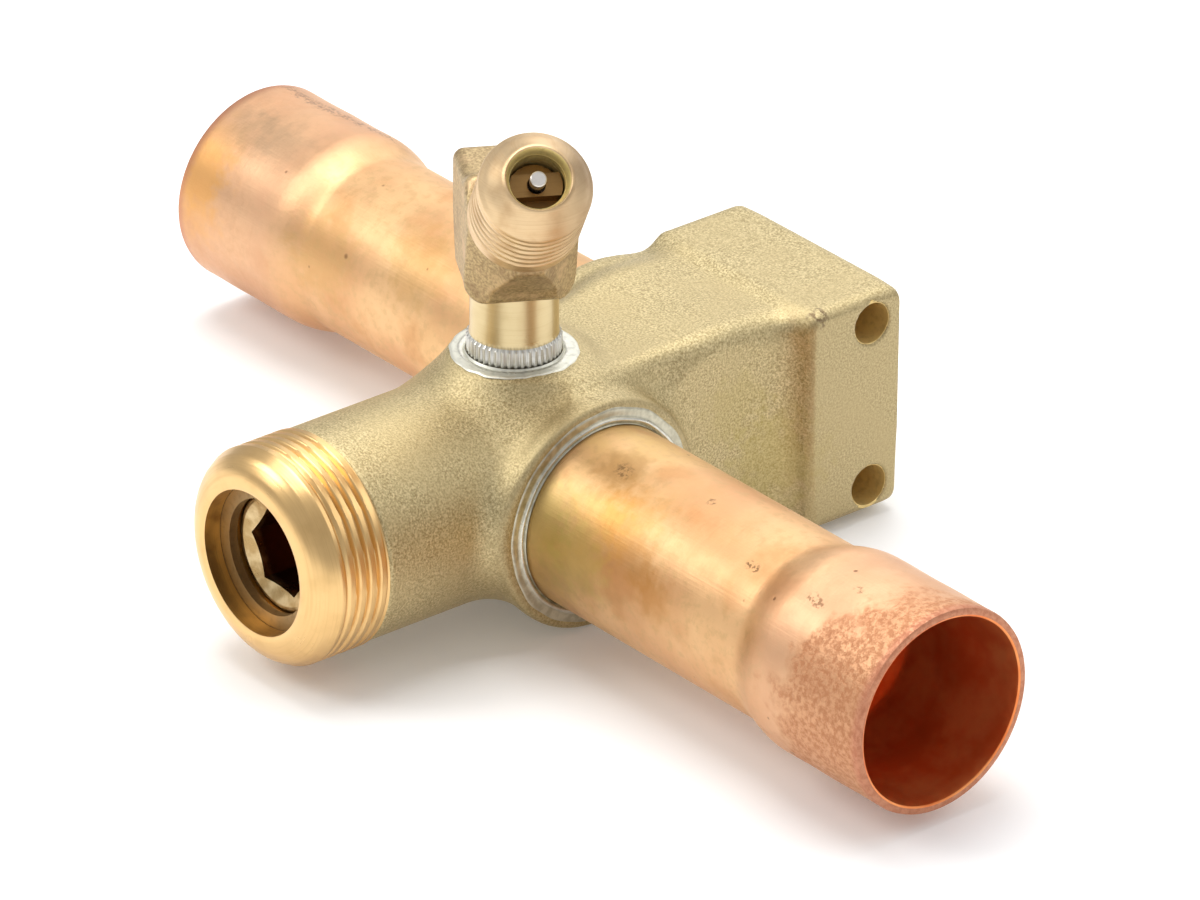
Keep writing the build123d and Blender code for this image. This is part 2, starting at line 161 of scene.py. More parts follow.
def turned(name, root, way, profile, materials, around, relief=None, second=None, sharp=38):
    """Draws a closed profile of (distance, radius) by extruding a point, and spins it about an axis.

    relief(distance, radius, angle) adds to the radius; second(distance, radius, facing) says which
    faces take the second material, where facing is 1 outwards, 0 along the axis and -1 inwards.
    """
    along, side, third = turned_axes(way)
    steps = [(along * d + side * r) * MM for d, r in profile]
    join = MM / 500
    bpy.ops.object.select_all(action="DESELECT")
    bpy.ops.mesh.primitive_plane_add(size=MM, location=root * MM + steps[0])
    obj = bpy.context.object
    obj.name = obj.data.name = name
    bpy.ops.object.transform_apply(location=True, rotation=True, scale=True)
    bpy.ops.object.mode_set(mode="EDIT")
    bpy.ops.mesh.select_mode(type="VERT")
    bpy.ops.mesh.select_all(action="SELECT")
    bpy.ops.mesh.merge(type="CENTER")
    for start, end in zip(steps, steps[1:] + steps[:1]):
        bpy.ops.mesh.extrude_region_move(TRANSFORM_OT_translate={"value": end - start})
    bpy.ops.mesh.select_all(action="SELECT")
    bpy.ops.mesh.remove_doubles(threshold=join)
    bpy.ops.mesh.spin(steps=around, angle=2 * pi, center=root * MM, axis=along, use_auto_merge=True)
    bpy.ops.mesh.select_all(action="SELECT")
    bpy.ops.mesh.remove_doubles(threshold=join)
    bpy.ops.mesh.normals_make_consistent(inside=False)
    bpy.ops.mesh.faces_shade_smooth()
    bpy.ops.object.mode_set(mode="OBJECT")
    mesh = obj.data
    for material in materials:
        mesh.materials.append(material)
    axes = np.array((along, side, third)).T

    def polar(points):
        d, u, v = ((points / MM - np.array(root)) @ axes).T
        return d, np.hypot(u, v), np.arctan2(v, u)

    if second:
        centres = np.zeros(len(mesh.polygons) * 3)
        normals = np.zeros(len(mesh.polygons) * 3)
        mesh.polygons.foreach_get("center", centres)
        mesh.polygons.foreach_get("normal", normals)
        d, r, a = polar(centres.reshape(-1, 3))
        n, u, v = (normals.reshape(-1, 3) @ axes).T
        chosen = second(d, r, u * np.cos(a) + v * np.sin(a))
        mesh.polygons.foreach_set("material_index", chosen.astype(np.int32))
    if relief:
        points = np.zeros(len(mesh.vertices) * 3)
        mesh.vertices.foreach_get("co", points)
        d, r, a = polar(points.reshape(-1, 3))
        r = np.maximum(r + relief(d, r, a), 0)
        points = np.stack((d, r * np.cos(a), r * np.sin(a)), 1) @ axes.T + np.array(root)
        mesh.vertices.foreach_set("co", (points * MM).ravel())
    mesh.update()
    mesh.set_sharp_from_angle(angle=radians(sharp))
    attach(obj, "valve")
    return obj


def ripple(seed, a, waves):
    """A smooth irregular wave round a circle, about -1 to 1."""
    rng = np.random.default_rng(seed)
    total = np.zeros_like(a)
    for n in range(1, waves + 1):
        total += rng.normal() / sqrt(n) * np.cos(n * a + rng.uniform(0, 2 * pi))
    return total / 2.2


# ---- signed distance forms for the forging, in millimetres from the stem's root ----
def smooth_union(a, b, k):
    """Joins two forms with a fillet about k wide."""
    h = np.maximum(k - np.abs(a - b), 0) / k
    return np.minimum(a, b) - h * h * k / 4


def smooth_cut(a, b, k):
    """Takes b out of a."""
    return -smooth_union(-a, b, k)


def rod(across, along, radius, start, end):
    """A cylinder; radius may vary with the distance along it."""
    q = across - radius
    w = np.abs(along - (start + end) / 2) - (end - start) / 2
    return np.minimum(np.maximum(q, w), 0) + np.hypot(np.maximum(q, 0), np.maximum(w, 0))


def slab(dx, dy, dz, half, corner):
    """A box with rounded edges."""
    q = [np.abs(dx) - half[0] + corner, np.abs(dy) - half[1] + corner, np.abs(dz) - half[2] + corner]
    outside = np.sqrt(sum(np.maximum(v, 0) ** 2 for v in q))
    return outside + np.minimum(np.maximum(q[0], np.maximum(q[1], q[2])), 0) - corner


overcut = 2
front_face = block_back - line_y - block_depth
stagger = unit_y - line_y


def boss(across, along, root_radius, start):
    """A tube boss, which swells from its root to its rim."""
    swell_length = 11
    swell = np.clip(along / swell_length, 0, 1) ** 1.5
    return rod(across, along, root_radius + (boss_radius - root_radius) * swell, start, boss_length + overcut)


def beyond(distance, reach):
    """Lifts a cut out of the way further than reach from an axis."""
    return 40 * (distance > reach)


def bridge_and_block(x, y, z):
    """The web behind the chamber, blended in plan into the mounting block, and lower than it."""
    draft, draft_top, draft_height = 1.6, -3.4, 7.6
    corner, web_blend, back_round, top_round = 1.0, 6.5, 1.2, 1.8
    ramp_lead, ramp_length = 1.4, 2.0
    half_width = bridge_half_width - draft * np.clip((draft_top - z) / draft_height, 0, 1)
    waist = np.maximum(np.abs(x) - half_width, -y)
    side = np.abs(x) - block_width / 2 + corner
    end = np.abs(y - front_face - block_depth / 2) - block_depth / 2 + corner
    head = np.hypot(np.maximum(side, 0), np.maximum(end, 0)) + np.minimum(np.maximum(side, end), 0) - corner
    outline = smooth_cut(smooth_union(waist, head, web_blend), front_face + block_depth - y, back_round)
    rise = np.clip((y - front_face + ramp_lead) / ramp_length, 0, 1)
    top = bridge_half_height + (block_height / 2 - bridge_half_height) * rise * rise * (3 - 2 * rise)
    solid = smooth_cut(outline, top - np.abs(z), top_round)
    return np.maximum(solid, np.abs(x) - block_width / 2)


def drilled_ways(neck, line, unit, upright, hole, x, s, z):
    """Bores, ports, sockets and fixing holes; the first five are distances from their axes."""
    seat_depth, seat_radius = 5.5, 4.6
    line_port_radius, unit_port_radius, unit_port_end = 5, 8, 3.2
    socket_radius, socket_floor = 9.7, 5.5
    spigot_hole_radius, spigot_hole_floor = 4.45, 7.6
    return (rod(neck, s, bore_radius, -seat_depth, neck_length + overcut),
            rod(neck, s, seat_radius, -stagger, 0),
            rod(line, x, line_port_radius, 0, boss_length),
            rod(line, x, socket_radius, socket_floor, boss_length + overcut),
            rod(unit, -x, unit_port_radius, -unit_port_end, boss_length),
            rod(unit, -x, socket_radius, socket_floor, boss_length + overcut),
            rod(upright, z, spigot_hole_radius, spigot_hole_floor, pad_height + overcut),
            hole - hole_radius)


def forging(x, y, z):
    """The sandblasted body with its machined faces and holes; x, y, z count from the stem's root."""
    line_root_radius, unit_root_radius = 10.4, 10.3
    pad_radius, pad_foot, pad_foot_height = 6.3, 3.4, 5
    boss_blend, bridge_blend = 3.4, 4
    underside_margin = 0.03
    neck_face_drop = 0.05
    boss_face_reach, pad_face_radius = 16, 9
    s = -y
    low = z - tube_z
    from_neck = np.hypot(x, z)
    from_line = np.hypot(y, low)
    from_unit = np.hypot(y - stagger, low)
    from_port = np.hypot(x, y + line_y - port_y)
    from_hole = np.minimum(np.hypot(y + line_y, z - hole_spacing / 2), np.hypot(y + line_y, z + hole_spacing / 2))
    foot = np.clip((pad_height - z) / pad_foot_height, 0, 1) ** 1.3
    solid = smooth_union(rod(from_neck, s, neck_radius, -3, neck_length + 3),
                         boss(from_line, x, line_root_radius, -4), boss_blend)
    solid = smooth_union(solid, boss(from_unit, -x, unit_root_radius, -bridge_half_width), bridge_blend)
    solid = smooth_union(solid, bridge_and_block(x, y, z), bridge_blend)
    solid = smooth_union(solid, rod(from_port, z, pad_radius + pad_foot * foot, 0, pad_height + overcut), boss_blend)
    solid = np.maximum(solid, underside_margin - low - boss_radius)
    # machined faces
    solid = smooth_cut(solid, neck_length - neck_face_drop - s, 0.3)
    solid = smooth_cut(solid, boss_length - x + beyond(from_line, boss_face_reach), 0.7)
    solid = smooth_cut(solid, boss_length + x + beyond(from_unit, boss_face_reach), 0.7)
    solid = smooth_cut(solid, np.maximum(pad_height - z, from_port - pad_face_radius), 0.6)
    for drilled in drilled_ways(from_neck, from_line, from_unit, from_port, from_hole, x, s, z):
        solid = smooth_cut(solid, drilled, 0.25)
    return solid


def surface_net(field, low, high, step):
    """Skins the zero level of a distance field with one vertex in each cell that it crosses."""
    axes = [np.arange(low[i], high[i] + step, step) for i in range(3)]
    values = field(*np.meshgrid(*axes, indexing="ij")).astype(np.float32)
    shape = np.array(values.shape) - 1
    total = np.zeros((*shape, 3))
    hits = np.zeros(shape)

    def corner(o):
        """The field at one corner of every cell."""
        return values[o[0]:o[0] + shape[0], o[1]:o[1] + shape[1], o[2]:o[2] + shape[2]]

    for axis in range(3):
        others = [i for i in range(3) if i != axis]
        for p in (0, 1):
            for q in (0, 1):
                a = [0, 0, 0]
                a[others[0]], a[others[1]] = p, q
                b = list(a)
                b[axis] = 1
                va, vb = corner(a), corner(b)
                crossed = (va < 0) != (vb < 0)
                t = np.where(crossed, va / np.where(crossed, va - vb, 1), 0)
                for i in range(3):
                    total[..., i] += np.where(crossed, t if i == axis else a[i], 0)
                hits += crossed
    cells = np.argwhere(hits > 0)
    inside = hits > 0
    index = np.full(shape, -1)
    index[inside] = np.arange(len(cells))
    verts = (cells + total[inside] / hits[inside][:, None]) * step + np.array(low)
    # each vertex moves on to the surface along the field's slope
    for _ in range(3):
        v = field(*verts.T)
        e = step / 4
        slope = np.stack([field(*(verts + e * np.eye(3)[i]).T) - v for i in range(3)], 1) / e
        length = np.maximum((slope ** 2).sum(1), 0.2)
        verts -= slope * np.clip(v / length, -step / 3, step / 3)[:, None]
    faces = []
    for axis in range(3):
        u, w = (axis + 1) % 3, (axis + 2) % 3
        start = [0, 0, 0]
        start[u] = start[w] = 1
        stop = [shape[i] for i in range(3)]
        here = values[start[0]:stop[0], start[1]:stop[1], start[2]:stop[2]]
        shift = [1 if i == axis else 0 for i in range(3)]
        there = values[start[0] + shift[0]:stop[0] + shift[0], start[1] + shift[1]:stop[1] + shift[1],
                       start[2] + shift[2]:stop[2] + shift[2]]
        for rising in (True, False):
            at = np.argwhere(((here < 0) & (there >= 0)) if rising else ((here >= 0) & (there < 0)))
            at = at + np.array(start)
            ring = []
            for du, dw in ((0, 0), (1, 0), (1, 1), (0, 1)):
                c = at.copy()
                c[:, u] -= du
                c[:, w] -= dw
                ring.append(index[c[:, 0], c[:, 1], c[:, 2]])
            quad = np.stack(ring if rising else ring[::-1], 1)
            faces += quad[(quad >= 0).all(1)].tolist()
    return verts, faces


# ---- shader values that add and multiply as numbers do ----
class Value:
    """A value in a shader; an expression on values adds its Math nodes."""

    def __init__(self, finish, socket):
        self.finish, self.socket = finish, socket

    def math(self, operation, *operands):
        return self.finish.value("ShaderNodeMath", {"operation": operation}, dict(enumerate(operands)))

    def __add__(self, other): return self.math("ADD", self, other)
    def __radd__(self, other): return self.math("ADD", other, self)
    def __sub__(self, other): return self.math("SUBTRACT", self, other)
    def __rsub__(self, other): return self.math("SUBTRACT", other, self)
    def __mul__(self, other): return self.math("MULTIPLY", self, other)
    def __rmul__(self, other): return self.math("MULTIPLY", other, self)
    def __pow__(self, other): return self.math("POWER", self, other)
    def __rpow__(self, other): return self.math("POWER", other, self)
    def abs(self): return self.math("ABSOLUTE", self)
    def low(self, other): return self.math("MINIMUM", self, other)
    def high(self, other): return self.math("MAXIMUM", self, other)

    def ramp(self, start, end):
        """0 at start and 1 at end, smooth between; start may be the larger."""
        rising = start < end
        return self.finish.value("ShaderNodeMapRange", {"interpolation_type": "SMOOTHSTEP"}, {
            "Value": self, "From Min": min(start, end), "From Max": max(start, end),
            "To Min": 0 if rising else 1, "To Max": 1 if rising else 0})


class Finish:
    """A material under construction; x, y and z are object coordinates in millimetres."""

    def __init__(self, name, metallic=1.0):
        self.material = bpy.data.materials.new(name)
        self.material.use_nodes = True
        self.tree = self.material.node_tree
        self.shader = self.tree.nodes["Principled BSDF"]
        self.feed(self.shader.inputs["Metallic"], metallic)
        coords = self.node("ShaderNodeTexCoord", {}, {})
        scaled = self.node("ShaderNodeVectorMath", {"operation": "SCALE"},
                           {0: coords.outputs["Object"], "Scale": 1 / MM})
        split = self.node("ShaderNodeSeparateXYZ", {}, {0: scaled.outputs[0]})
        self.x, self.y, self.z = [Value(self, output) for output in split.outputs]

    def feed(self, socket, value):
        """Gives a socket a link, a colour or a number."""
        if isinstance(value, Value):
            value = value.socket
        if isinstance(value, bpy.types.NodeSocket):
            self.tree.links.new(value, socket)
        elif socket.type == "RGBA":
            socket.default_value = (*value, 1)
        else:
            socket.default_value = value

    def node(self, kind, settings, sockets):
        """Adds a node: its settings first, then the value or the link of each socket."""
        node = self.tree.nodes.new(kind)
        for name, value in settings.items():
            setattr(node, name, value)
        for key, value in sockets.items():
            self.feed(node.inputs[key], value)
        return node

    def value(self, kind, settings, sockets, output=0):
        return Value(self, self.node(kind, settings, sockets).outputs[output])

    def moved(self, stretch=(1, 1, 1), at=(0, 0, 0)):
        """The coordinates, stretched and then shifted."""
        parts = [v * k + o for v, k, o in zip((self.x, self.y, self.z), stretch, at)]
        return self.node("ShaderNodeCombineXYZ", {}, dict(enumerate(parts))).outputs[0]

    def noise(self, scale, detail=2.0, stretch=(1, 1, 1), at=(0, 0, 0), rough=0.5):
        """Fractal noise; scale is in features a millimetre."""
        return self.value("ShaderNodeTexNoise", {}, {
            "Scale": scale, "Detail": detail, "Roughness": rough, "Vector": self.moved(stretch, at)}, "Fac")

    def spots(self, scale, size, at=(0, 0, 0)):
        """Round spots, 1 in the middle and 0 outside; size is a share of the cell."""
        cells = self.value("ShaderNodeTexVoronoi", {}, {"Scale": scale, "Vector": self.moved(at=at)}, "Distance")
        return cells.ramp(size, size * 0.4)

    def distance(self, point):
        """The distance from a point."""
        squares = [(v - p) ** 2 for v, p in zip((self.x, self.y, self.z), point)]
        return (squares[0] + squares[1] + squares[2]) ** 0.5

    def dot(self, point, radius):
        """1 at a point, 0 outside the radius."""
        return self.distance(point).ramp(radius, radius * 0.4)

    def near(self, point, radius):
        """1 near a point, fading to 0 about the radius, with an irregular edge."""
        uneven = self.noise(max(0.8, 1.3 / radius), 3) - 0.5
        return (self.distance(point) + uneven * radius * 1.8).ramp(radius * 1.5, radius * 0.5)

    def mix(self, a, b, factor):
        """Blends two colours, each a triple or a link."""
        return self.node("ShaderNodeMix", {"data_type": "RGBA", "clamp_factor": True},
                         {0: factor, 6: a, 7: b}).outputs[2]

    def done(self, colour, roughness, height=None, depth=0.02):
        """Closes the material; height is 0 to 1 over depth millimetres."""
        self.feed(self.shader.inputs["Base Color"], colour)
        self.feed(self.shader.inputs["Roughness"], roughness)
        if height is not None:
            bump = self.node("ShaderNodeBump", {}, {"Strength": 1.0, "Distance": depth * MM, "Height": height})
            self.feed(self.shader.inputs["Normal"], bump.outputs[0])
        return self.material


def forged_finish():
    """Sandblasted brass: sparkling grain, a few pits and salmon wear on the block's edges."""
    f = Finish("forged_brass", 0.92)
    grain = f.noise(4.6, 3, rough=0.7)
    cloud = f.noise(0.16, 3)
    colour = f.mix((0.31, 0.235, 0.105), (0.76, 0.64, 0.375), grain.ramp(0.30, 0.72))
    colour = f.mix(colour, (0.55, 0.44, 0.235), cloud.ramp(0.35, 0.7) * 0.5)
    edge = 1.1
    edge_x = (f.x - stem_x).abs() - block_width / 2 + edge
    edge_y = (f.y - (block_back - block_depth / 2)).abs() - block_depth / 2 + edge
    edge_z = f.z.abs() - block_height / 2 + edge
    reach = (edge_x.high(0) ** 2 + edge_y.high(0) ** 2 + edge_z.high(0) ** 2) ** 0.5
    worn = reach.ramp(1.15, 1.6) * f.noise(0.5, 4, at=(3, 0, 0)).ramp(0.42, 0.62)
    worn = worn * f.y.ramp(block_back - block_depth - 2, block_back - block_depth)
    worn = worn * f.x.ramp(-4.5, -1)
    colour = f.mix(colour, (0.70, 0.48, 0.29), worn * 0.25)
    # darker, greener patches low on the bridge's flank
    flank_darkening = f.near((-4.2, -9.4, -3.5), 5) + f.near((-4.2, -15.0, 3.0), 3.5) * 0.5
    colour = f.mix(colour, (0.46, 0.37, 0.12), flank_darkening * 0.45)
    # painted shade: the block's +X face, where the fixing holes open, is darkened in colour
    colour = f.mix(colour, (0.40, 0.31, 0.16), f.x.ramp(-0.7, -0.2) * 0.4)
    knock = f.near((-0.5, -6.6, 12.0), 1.1)
    colour = f.mix(colour, (0.12, 0.07, 0.04), knock * f.noise(1.6, 3).ramp(0.45, 0.6) * 0.8)
    pits = f.dot((stem_x + 7, line_y + 20.45, 6.44), 0.35)
    pits = pits + f.dot((stem_x + 10.85, line_y - 12.9, -1.6), 0.3)
    pits = pits + f.dot((stem_x + 11.2, line_y + 3.5, 6.2), 0.28) + f.spots(0.09, 0.035)
    colour = f.mix(colour, (0.05, 0.04, 0.03), pits * 0.9)
    roughness = grain * 0.25 + 0.36
    return f.done(colour, roughness, grain + pits * -2.0, 0.06)


def machined_finish(name, colour, shade, roughness, axis=1, stain=0.3, shaded=False):
    """Turned brass: fine tool rings along one axis and staining; shaded paints shade on the nipple's far side."""
    f = Finish(name)
    stretch = [0.15, 0.15, 0.15]
    stretch[axis] = 9
    rings = f.noise(1.0, 2, tuple(stretch))
    cloud = f.noise(0.35, 4)
    tint = f.mix(colour, shade, cloud.ramp(0.42, 0.75) * stain)
    tint = f.mix(tint, shade, rings.ramp(0.45, 0.8) * 0.25)
    if shaded:
        # painted shade: the nipple darkens towards its far side
        painted_side_shade = ((f.x - elbow_root.x) * 0.64 + (f.y - elbow_root.y) * 0.77).ramp(2.5, 7.5)
        tint = f.mix(tint, (0.30, 0.20, 0.11), painted_side_shade * 0.6)
    return f.done(tint, rings * 0.12 + cloud * 0.1 + roughness - 0.1, rings, 0.006)


def copper_finish(name, root, way, reach, etch, marks):
    """Drawn copper with heat tint at the boss, stains, scratches and an etched bell."""
    f = Finish(name)
    along = (f.x - root.x) * way
    tint = along.ramp(32, 12) * f.noise(0.12, 3, at=(7, 1, 0)).ramp(0.3, 0.62)
    colour = f.mix((0.70, 0.40, 0.20), (0.80, 0.515, 0.265), f.noise(0.09, 4).ramp(0.35, 0.65))
    colour = f.mix(colour, (0.66, 0.455, 0.175), tint * 0.85)
    patch = f.noise(0.15, 5, at=(0, 9, 2)).ramp(0.52, 0.70)
    mottle = f.noise(0.9, 5, at=(2, 2, 7), rough=0.65)
    colour = f.mix(colour, (0.62, 0.40, 0.19), mottle.ramp(0.46, 0.66) * 0.5)
    colour = f.mix(colour, (0.60, 0.30, 0.12), patch * 0.55)
    bell = along.ramp(reach - 20, reach - 12)
    colour = f.mix(colour, (0.70, 0.42, 0.27), bell * 0.6)
    side = (f.z - tube_z) * 0.6 + (f.y - root.y) * 0.8
    region = (along + side * -0.5 + (f.noise(0.35, 4) - 0.5) * 12).ramp(reach - 9.5, reach - 5.5)
    etched = f.noise(1.6, 4, rough=0.7).ramp(0.38, 0.62) * region
    region = region * etch
    etched = etched * etch
    colour = f.mix(colour, (0.60, 0.30, 0.155), region * 0.6)
    colour = f.mix(colour, (0.44, 0.18, 0.08), etched * 0.5)
    for spots, radius, shade, strength in marks:
        blot = f.near(spots[0], radius)
        for spot in spots[1:]:
            blot = blot + f.near(spot, radius)
        if radius < 1:
            blot = blot.low(1) * f.noise(2.6, 4, at=(1, 6, 3), rough=0.6).ramp(0.44, 0.58)
        colour = f.mix(colour, shade, blot * strength)
    rim = along.ramp(reach - 1.4, reach - 0.2)
    colour = f.mix(colour, (0.55, 0.24, 0.15), rim * 0.7)
    specks = f.spots(0.22, 0.06, (1, 2, 3)) + f.spots(0.11, 0.05, (5, 1, 8))
    colour = f.mix(colour, (0.16, 0.07, 0.03), specks * 0.7)
    rings = f.noise(1.0, 3, (7, 0.25, 0.25))
    hairs = f.noise(1.0, 2, (0.12, 4, 4), at=(4, 4, 4))
    blotch = f.noise(0.45, 4)
    roughness = blotch * 0.22 + rings * 0.10 + etched * 0.2 + 0.32
    height = rings * 0.3 + hairs * 0.4 - etched * 0.8 + f.noise(0.25, 3) * 1.6
    height = height - specks * 0.6 + f.noise(2.2, 3) * 0.35
    return f.done(colour, roughness, height, 0.03)


def inner_copper_finish():
    """The oxidised red inside of the tubes."""
    f = Finish("copper_inside", 0.8)
    cloud = f.noise(0.2, 4)
    colour = f.mix((0.80, 0.20, 0.05), (0.92, 0.36, 0.12), cloud.ramp(0.35, 0.7))
    return f.done(colour, cloud * 0.15 + 0.28, f.noise(0.5, 3, (3, 0.4, 0.4)), 0.02)


def braze_finish():
    """Clouded silver."""
    f = Finish("silver_braze")
    cloud = f.noise(1.2, 4)
    colour = f.mix((0.44, 0.41, 0.31), (0.60, 0.57, 0.45), cloud.ramp(0.35, 0.65))
    return f.done(colour, cloud * 0.2 + 0.30, cloud, 0.04)


def elbow_finish():
    """Brown forging scale over brass."""
    f = Finish("elbow_forging", 0.8)
    grain = f.noise(3.2, 3, rough=0.6)
    cloud = f.noise(0.35, 4)
    colour = f.mix((0.32, 0.22, 0.105), (0.62, 0.47, 0.25), grain.ramp(0.28, 0.72))
    colour = f.mix(colour, (0.26, 0.155, 0.08), cloud.ramp(0.5, 0.72) * 0.5)
    colour = f.mix(colour, (0.66, 0.46, 0.26), f.noise(0.3, 3, at=(8, 0, 3)).ramp(0.55, 0.72) * 0.6)
    return f.done(colour, grain * 0.2 + 0.36, grain, 0.03)


def stem_finish():
    """Brass stem: bright cone round a hex socket, and painted shade that turns it dark just behind its end face."""
    f = Finish("stem_brass")
    cloud = f.noise(0.7, 4)
    colour = f.mix((0.42, 0.28, 0.12), (0.70, 0.54, 0.30), cloud.ramp(0.4, 0.7))
    stem_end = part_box("valve_stem")[0].y / MM
    # painted shade: the stem goes dark from 0.9 mm behind its end face, into the hex socket and the bore
    painted_socket_shade = f.y.ramp(stem_end + 0.9, stem_end + 1.6)
    colour = f.mix(colour, (0.15, 0.055, 0.018), painted_socket_shade)
    return f.done(colour, cloud * 0.2 + 0.2, f.noise(2.5, 3), 0.02)


def plain_finish(name, colour, roughness, metallic=0.0):
    """One colour, lightly clouded."""
    f = Finish(name, metallic)
    cloud = f.noise(1.5, 3)
    tint = f.mix(colour, tuple(c * 0.6 for c in colour), cloud.ramp(0.45, 0.75) * 0.5)
    return f.done(tint, cloud * 0.15 + roughness, f.noise(4, 2), 0.01)


forged = forged_finish()
nose_brass = machined_finish("nose_brass", (0.80, 0.53, 0.235), (0.52, 0.31, 0.11), 0.30)
bore_brass = machined_finish("bore_brass", (0.72, 0.46, 0.15), (0.30, 0.17, 0.05), 0.35, stain=0.8)
nipple_brass = machined_finish("nipple_brass", (0.75, 0.55, 0.32), (0.50, 0.31, 0.15), 0.42, axis=2, stain=0.6,
                               shaded=True)
spigot_brass = machined_finish("spigot_brass", (0.66, 0.53, 0.30), (0.50, 0.36, 0.17), 0.30, axis=2)
knurl_metal = machined_finish("knurl_metal", (0.66, 0.65, 0.60), (0.38, 0.36, 0.30), 0.3, axis=2)
core_brass = plain_finish("core_brass", (0.80, 0.64, 0.26), 0.28, 0.6)
core_dark = machined_finish("core_dark", (0.30, 0.17, 0.06), (0.10, 0.05, 0.02), 0.35, axis=2)
drilled_brass = plain_finish("drilled_brass", (0.80, 0.60, 0.24), 0.35, 0.45)
copper_inside = inner_copper_finish()
silver = braze_finish()
bead_silver = plain_finish("bead_silver", (0.66, 0.64, 0.56), 0.22, 1.0)
pale_silver = plain_finish("pale_silver", (0.77, 0.76, 0.66), 0.36, 0.8)
elbow_brown = elbow_finish()


# ---- forging ----
margin = Vector((1, 1, 1))
low = Vector(block_low) - stem_root - margin
high = Vector((block_high.x, block_high.y, pad_height)) - stem_root + margin
low.y = -neck_length - margin.y
body_skin = skin("forged_body", *surface_net(forging, low, high, 0.36), stem_root, forged)
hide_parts("valve_body")


# ---- cap thread, nose and mouth of the stem neck ----
def vee(phase, crest=0.48, root=0.06):
    """Thread form: 1 on the crest and 0 at the root."""
    t = np.abs((phase % 1) - 0.5) * 2
    return np.clip((t - root) / (1 - crest - root), 0, 1)


thread_start = neck_length + 0.05
thread_end = neck_length + 5.8


def cap_thread(d, r, a):
    depth, thread_foot = 0.46, 10.6
    inside = (d > thread_start) & (d < thread_end - 0.05) & (r > thread_foot)
    fade = np.clip((thread_end - 0.3 - d) / 0.8, 0, 1) * np.clip((d - neck_length - 0.1) / 0.3, 0, 1)
    return np.where(inside, -depth * fade * (1 - vee(d / thread_pitch + a / (2 * pi))), 0)


mouth_radius, groove_radius = 7.38, 7.9
groove_depth, shoulder_depth = 1.95, 3.05
nose_length, nose_drop, nose_inner, roll_steps = 2.5, 0.12, 7.9, 15
tool_rings, ring_cut = (3, 8), 0.06
neck_face = neck_length - 0.05
nose = [(neck_face, bore_radius), (neck_face, neck_radius), (thread_start, cap_crest)]
nose += resample([(thread_start, cap_crest), (thread_end, cap_crest)], 0.075)[1:].tolist()
for i in range(1, roll_steps):
    t = i / roll_steps
    roll = cap_crest - nose_drop - (cap_crest - nose_inner) * (1 - cos(t * pi / 2)) ** 0.9
    nose.append((thread_end + nose_length * sin(t * pi / 2) ** 1.1, roll - ring_cut * (i in tool_rings)))
nose += [(mouth_end, 7.75), (mouth_end - 0.12, 7.42), (mouth_end - groove_depth, mouth_radius),
         (mouth_end - groove_depth, groove_radius), (mouth_end - shoulder_depth, groove_radius),
         (mouth_end - shoulder_depth, bore_radius)]
neck_end = turned("neck_end", stem_root, (0, -1, 0), nose, [nose_brass, bore_brass], 240, cap_thread,
                  lambda d, r, facing: (r < groove_radius + 0.05) & (d < mouth_end - 0.06), sharp=50)


# ---- drilled walls of the fixing holes ----
bore = hole_radius - 0.04
liner = bore + 0.3
mouth_inset = 0.2
wall = [(-block_width + mouth_inset, bore), (-mouth_inset, bore), (-mouth_inset, liner),
        (-block_width + mouth_inset, liner)]
for name, sign in (("fixing_hole_lower", -1), ("fixing_hole_upper", 1)):
    centre = Vector((0, 0, sign * hole_spacing / 2))
    drilled = turned(name, centre, (1, 0, 0), wall, [drilled_brass], 64)


# ---- copper tubes ----
def tube_profile(reach):
    """Plain tube, shoulder, bell with a rounded lip, and back along the inside."""
    seat_depth, flare_lead, flare_length, step_lead, lip = 6.8, 1.2, 5.2, 3.4, 0.35
    start = boss_length - seat_depth
    bell = reach - bell_length
    points = [(start, tube_inner), (start, tube_radius), (bell - flare_lead, tube_radius)]
    for i in range(1, 25):
        t = i / 24
        rise = t * t * (3 - 2 * t) + 0.10 * sin(pi * t) ** 2
        points.append((bell - flare_lead + flare_length * t, tube_radius + (bell_outer - tube_radius) * rise))
    points += resample([(bell + 4, bell_outer), (reach - lip, bell_outer)], 1.2)[1:].tolist()
    points += [(reach - 0.1, 10.5), (reach, 10.3), (reach, 9.85), (reach - 0.1, 9.66)]
    points += resample([(reach - 0.4, bell_inner), (bell + step_lead, bell_inner)], 1.5).tolist()
    for i in range(1, 9):
        t = i / 8
        fall = (bell_inner - tube_inner) * t * t * (3 - 2 * t)
        points.append((bell + step_lead - step_lead * t, bell_inner - fall))
    return points


def tube(name, root, way, reach, seed, cad, etch, marks):
    bell = reach - bell_length

    def relief(d, r, a):
        """The bell is a little out of round, as it is swaged by hand."""
        hand = np.clip((d - bell + 3) / 6, 0, 1)
        return hand * (0.035 * ripple(seed, a, 4) + 0.02 * np.sin(d * 0.9 + 3 * ripple(seed + 1, a, 3)))

    finish = copper_finish(name + "_copper", root, way, reach, etch, marks)
    piece = turned(name + "_drawn", root, (way, 0, 0), tube_profile(reach), [finish, copper_inside], 200, relief,
                   lambda d, r, facing: facing < -0.3)
    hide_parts(cad)


line_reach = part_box("line_tube")[1].x / MM - stem_x
unit_reach = stem_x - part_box("unit_tube")[0].x / MM
